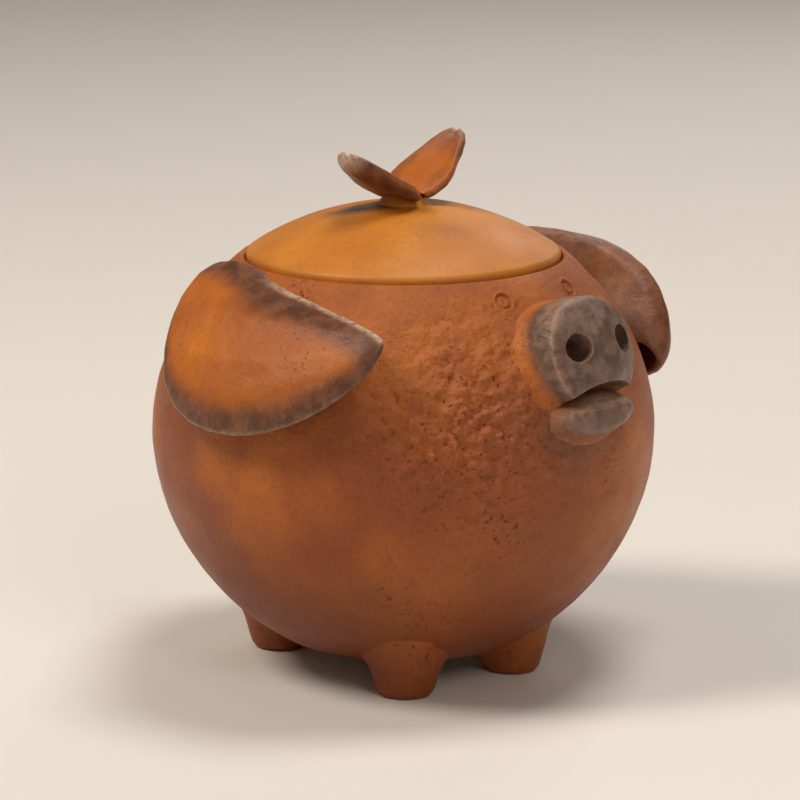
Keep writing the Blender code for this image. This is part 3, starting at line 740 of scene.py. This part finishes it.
# lid: the cap of the same egg, turned under and hollowed
lidSet = {
    "segments": 260,
    "rings": 300,
    "edgeRound": 0.6 * mm,
    "hollowRadius": 27.1 * mm,
    "wall": 4.5 * mm,
    "hollowRings": 9,
    "dents": (20 * mm, 0.35 * mm),
    "smokeTurn": -47.0,
    "smokeSize": (9 * mm, 4 * mm),
    "smokeSpots": ((-8.0 * mm, 4.2 * mm, 1.1), (-6.8 * mm, -17.7 * mm, 0.35)),  # place and strength
}


def makeLid(s):
    edgeRadius = lidRadius - s["edgeRound"]
    edge = potSkin["bellyLevel"] + upperRise * math.sqrt(1 - (edgeRadius / potSkin["radius"]) ** 2)
    lid = ball("lidDome", s["segments"], s["rings"], edge, None)
    rings = [(lidRadius - 0.15 * mm, edge - 0.4 * mm), (lidRadius, edge - 1.0 * mm)]
    rings += [(lidRadius, lidLow.z + 0.5 * mm), (lidRadius - 0.5 * mm, lidLow.z)]
    rings.append((s["hollowRadius"], lidLow.z))
    rise = lidHigh.z - s["wall"] - lidLow.z
    for i in range(1, s["hollowRings"]):
        angle = math.pi / 2 * i / s["hollowRings"]
        rings.append((s["hollowRadius"] * math.cos(angle), lidLow.z + rise * math.sin(angle)))
    drawRings(lid, edge, rings)
    knead(lid, *s["dents"], "outside")
    applyAll(lid)
    points, normals = readPoints(lid)
    turn = math.radians(s["smokeTurn"])
    smoke = np.zeros(len(points))
    for x, y, strength in s["smokeSpots"]:
        offX, offY = points[:, 0] - belly.x - x, points[:, 1] - belly.y - y
        along = (offX * math.cos(turn) + offY * math.sin(turn)) / s["smokeSize"][0]
        across = (offY * math.cos(turn) - offX * math.sin(turn)) / s["smokeSize"][1]
        smoke += strength * np.exp(-(along**2) - across**2)
    paint(lid, "smoke", smoke)
    return lid


lid = makeLid(lidSet)
hand(lid, ("lid",), "lid", lidClay)

# the sprout and the flange: the leaves grow broad out of the stem, and the stem out of the lid
stemPiece = {"voxel": 0.25 * mm, "smooth": 8, "clay": lidClay, "slot": "lid_clay"}
leafPiece = {"voxel": 0.25 * mm, "smooth": 26, "clay": earClay, "slot": "ear_clay"}
sproutSet = {
    "lid_flange": dict(stemPiece, name="lidFlange", voxel=0.45 * mm, smooth=4),
    "sprout_stem": dict(stemPiece, name="sproutStem"),
    "leaf_left": dict(leafPiece, name="leafLeft"),
    "leaf_right": dict(leafPiece, name="leafRight"),
}
growSet = {
    "rootSpan": (4 * mm, 7 * mm),
    "rootPull": 0.35,
    "rootDrop": 0.8 * mm,
    "broadSpan": (5 * mm, 14 * mm),
    "broader": 0.75,
    "stemLevel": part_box("sprout_stem")[0].z,
    "stemFoot": 1.6 * mm,
    "stemWider": 0.2,
    "footWider": 0.2,
    "footSink": 0.9 * mm,
    "dents": (4 * mm, 0.2 * mm),
}
leafPaint = {
    "tipSpan": (0.45, 1),
    "tipSmoke": 0.75,
    "rimSpan": (2.5 * mm, 5.5 * mm),
    "rimSmoke": 0.35,
    "underShadeSpan": (0.1, -0.4),
    "underShade": 0.5,
    "wearAndHighlightSpan": (0.8, 1),
    "highlightAndWear": 0.7,
}


def growLeaf(piece, s):
    points, normals = readPoints(piece)
    fromStem = np.hypot(points[:, 0] - belly.x, points[:, 1] - belly.y)
    root = 1 - ramp(*s["rootSpan"], fromStem)
    points[:, 0] += (belly.x - points[:, 0]) * s["rootPull"] * root
    points[:, 1] += (points[:, 1] - belly.y) * s["broader"] * (1 - ramp(*s["broadSpan"], fromStem))
    points[:, 2] -= s["rootDrop"] * root
    movePoints(piece, points)


def growStem(piece, s):
    points, normals = readPoints(piece)
    low = 1 - ramp(0, s["stemFoot"], points[:, 2] - s["stemLevel"])
    wider = s["stemWider"] + s["footWider"] * low
    points[:, :2] += (points[:, :2] - np.array(belly)[:2]) * wider[:, None]
    points[:, 2] -= s["footSink"] * (low > 0.8)
    movePoints(piece, points)


def paintLeaf(piece, s):
    points, normals = readPoints(piece)
    out = np.abs(points[:, 0] - belly.x)
    out /= out.max()
    smoke = ramp(*s["tipSpan"], out) * s["tipSmoke"]
    smoke += ramp(*s["rimSpan"], np.abs(points[:, 1] - belly.y)) * s["rimSmoke"]
    # painted shade on the downward-facing undersides, put into the smoke layer
    smoke += ramp(*s["underShadeSpan"], normals[:, 2]) * s["underShade"]
    paint(piece, "smoke", np.clip(smoke, 0, 1))
    # pale tips, partly wear and partly painted highlight
    paint(piece, "highlightAndWear", ramp(*s["wearAndHighlightSpan"], out) * s["highlightAndWear"])


for node, s in sproutSet.items():
    piece = copyNode(node, s["name"])
    if node.startswith("leaf"):
        growLeaf(piece, growSet)
    elif node == "sprout_stem":
        growStem(piece, growSet)
    soften(piece, s["voxel"], s["smooth"])
    knead(piece, *growSet["dents"])
    applyAll(piece)
    if node.startswith("leaf"):
        paintLeaf(piece, leafPaint)
    hand(piece, (node,), "lid", s["clay"])
print("lid and sprout made")

# a pale round cove and soft lamps
stageSet = {
    "radius": 2.4,
    "height": 2.2,
    "corner": 0.7,
    "colour": (0.82, 0.79, 0.75),
    "roomColour": (1, 0.97, 0.94),
    "roomLight": 0.10,
}
lampSet = {  # place to the right, up and back towards the camera, then size, power and colour
    "keyLamp": ((-0.8, 0.95, 0.55), 0.45, 9.8, (1, 0.90, 0.78)),
    "fillLamp": ((0.45, 0.5, 1.1), 0.5, 2.4, (1, 0.94, 0.88)),
    "topLamp": ((0.25, 1.3, 0.2), 0.5, 8, (1, 0.94, 0.87)),
    "backLamp": ((0.45, 0.9, -0.9), 0.5, 1.8, (1, 0.94, 0.87)),
}


def makeStage(s):
    bpy.ops.object.select_all(action="DESELECT")
    bpy.ops.mesh.primitive_circle_add(vertices=96, radius=s["radius"], fill_type="NGON", location=(0, 0, 0))
    floor = bpy.context.object
    floor.name = "paleCove"
    bpy.ops.object.mode_set(mode="EDIT")
    bpy.ops.mesh.select_mode(type="EDGE")
    bpy.ops.mesh.select_all(action="DESELECT")
    bpy.ops.mesh.select_non_manifold()
    bpy.ops.mesh.extrude_edges_move(TRANSFORM_OT_translate={"value": (0, 0, s["height"])})
    bpy.ops.object.mode_set(mode="OBJECT")
    for edge in floor.data.edges:
        edge.select = all(floor.data.vertices[i].co.z < 0.01 for i in edge.vertices)
    bpy.ops.object.mode_set(mode="EDIT")
    bpy.ops.mesh.bevel(offset=s["corner"], segments=14)
    bpy.ops.object.mode_set(mode="OBJECT")
    floor.data.shade_smooth()
    material = bpy.data.materials.new("palePaper")
    material.use_nodes = True
    shader = material.node_tree.nodes["Principled BSDF"]
    shader.inputs["Base Color"].default_value = (*s["colour"], 1)
    shader.inputs["Roughness"].default_value = 0.8
    floor.data.materials.append(material)


def addLamp(name, place, size, power, colour):
    at = belly + viewRight * place[0] + viewUp * place[1] + viewBack * place[2]
    bpy.ops.object.light_add(type="AREA", location=at)
    lamp = bpy.context.object
    lamp.name = name
    lamp.data.shape = "DISK"
    lamp.data.size = size
    lamp.data.energy = power
    lamp.data.color = colour
    lamp.rotation_euler = (belly - at).to_track_quat("-Z", "Y").to_euler()


makeStage(stageSet)
for name, lamp in lampSet.items():
    addLamp(name, *lamp)
world = bpy.context.scene.world or bpy.data.worlds.new("softRoom")
bpy.context.scene.world = world
world.use_nodes = True
room = world.node_tree.nodes["Background"]
room.inputs["Color"].default_value = (*stageSet["roomColour"], 1)
room.inputs["Strength"].default_value = stageSet["roomLight"]
bpy.context.scene.view_settings.view_transform = "Standard"
print("stage lit")
